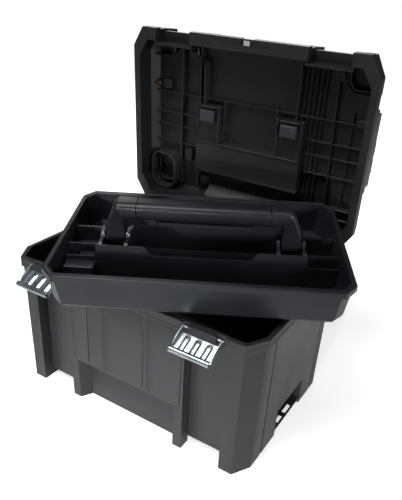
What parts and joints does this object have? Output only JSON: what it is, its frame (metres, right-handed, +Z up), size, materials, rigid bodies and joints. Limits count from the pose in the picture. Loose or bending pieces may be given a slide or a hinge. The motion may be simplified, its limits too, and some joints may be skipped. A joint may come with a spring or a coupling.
{
  "type": "toolbox with tray",
  "caption": "Deep stackable toolbox with an open hinged lid, steel latches, a folding carry handle and a divided lift-out tray with its own folding handle.",
  "frame": {"origin": "centre of the box's base, on the floor", "axes": "+X to the right along the front, +Y to the back, +Z up; the front faces -Y"},
  "size_m": [0.5141, 0.4799, 0.5514],
  "materials": {
    "black_plastic": "fine moulded grain",
    "satin_plastic": "satin moulded plastic",
    "grey_plastic": "paler moulded plastic",
    "zinc_steel": "bright zinc plate",
    "brass": "polished"
  },
  "bodies": {
    "box": {"box_shell": "black_plastic", "latch_bracket_left": "black_plastic", "latch_bracket_right": "black_plastic", "latch_pin_left": "zinc_steel", "latch_pin_right": "zinc_steel", "hinge_pin_left": "zinc_steel", "hinge_pin_right": "zinc_steel"},
    "latch_left": {"latch_left": "zinc_steel"},
    "latch_right": {"latch_right": "zinc_steel"},
    "lid": {"lid_shell": "black_plastic", "lid_handle_retainer_left": "grey_plastic", "lid_handle_retainer_right": "grey_plastic", "lid_handle_pin_left": "zinc_steel", "lid_handle_pin_right": "zinc_steel", "side_clip_pin_left": "zinc_steel", "side_clip_pin_right": "zinc_steel", "brass_rivet": "brass"},
    "lid_handle": {"lid_handle": "satin_plastic"},
    "side_clip_left": {"side_clip_left": "satin_plastic"},
    "side_clip_right": {"side_clip_right": "satin_plastic"},
    "tray": {"tray_shell": "satin_plastic", "tray_handle_pin_left": "zinc_steel", "tray_handle_pin_right": "zinc_steel"},
    "tray_handle": {"tray_handle": "satin_plastic", "tray_handle_grip": "satin_plastic"}
  },
  "joints": [
    {"name": "lid_hinge", "type": "hinge", "parent": "box", "child": "lid", "pos_m": [0, 0.166, 0.231], "axis": [1, 0, 0], "range_deg": [0, 88]},
    {"name": "tray_lift_off", "type": "slide", "parent": "box", "child": "tray", "axis": [0, -0.94, 0.3412], "range_m": [0, 0.48]},
    {"name": "latch_left_pivot", "type": "hinge", "parent": "box", "child": "latch_left", "pos_m": [-0.14, -0.158, 0.231], "axis": [-1, 0, 0], "range_deg": [0, 120]},
    {"name": "latch_right_pivot", "type": "hinge", "parent": "box", "child": "latch_right", "pos_m": [0.14, -0.158, 0.231], "axis": [-1, 0, 0], "range_deg": [0, 120]},
    {"name": "lid_handle_fold", "type": "hinge", "parent": "lid", "child": "lid_handle", "pos_m": [0, 0.20934, 0.40262], "axis": [1, 0, 0], "range_deg": [0, 90]},
    {"name": "side_clip_left_pivot", "type": "hinge", "parent": "lid", "child": "side_clip_left", "pos_m": [-0.2162, 0.18714, 0.40785], "axis": [0, -0.0349, 0.9994], "range_deg": [0, 95]},
    {"name": "side_clip_right_pivot", "type": "hinge", "parent": "lid", "child": "side_clip_right", "pos_m": [0.2162, 0.18714, 0.40785], "axis": [0, 0.0349, -0.9994], "range_deg": [0, 95]},
    {"name": "tray_handle_fold", "type": "hinge", "parent": "tray", "child": "tray_handle", "pos_m": [0.05827, -0.03407, 0.29971], "axis": [0.8775, 0.4791, 0.0209], "range_deg": [0, 60]}
  ],
  "couplings": [
    {"joint": "tray_lift_off", "follows": "lid_hinge", "m_per_rad": 0.3125}
  ]
}
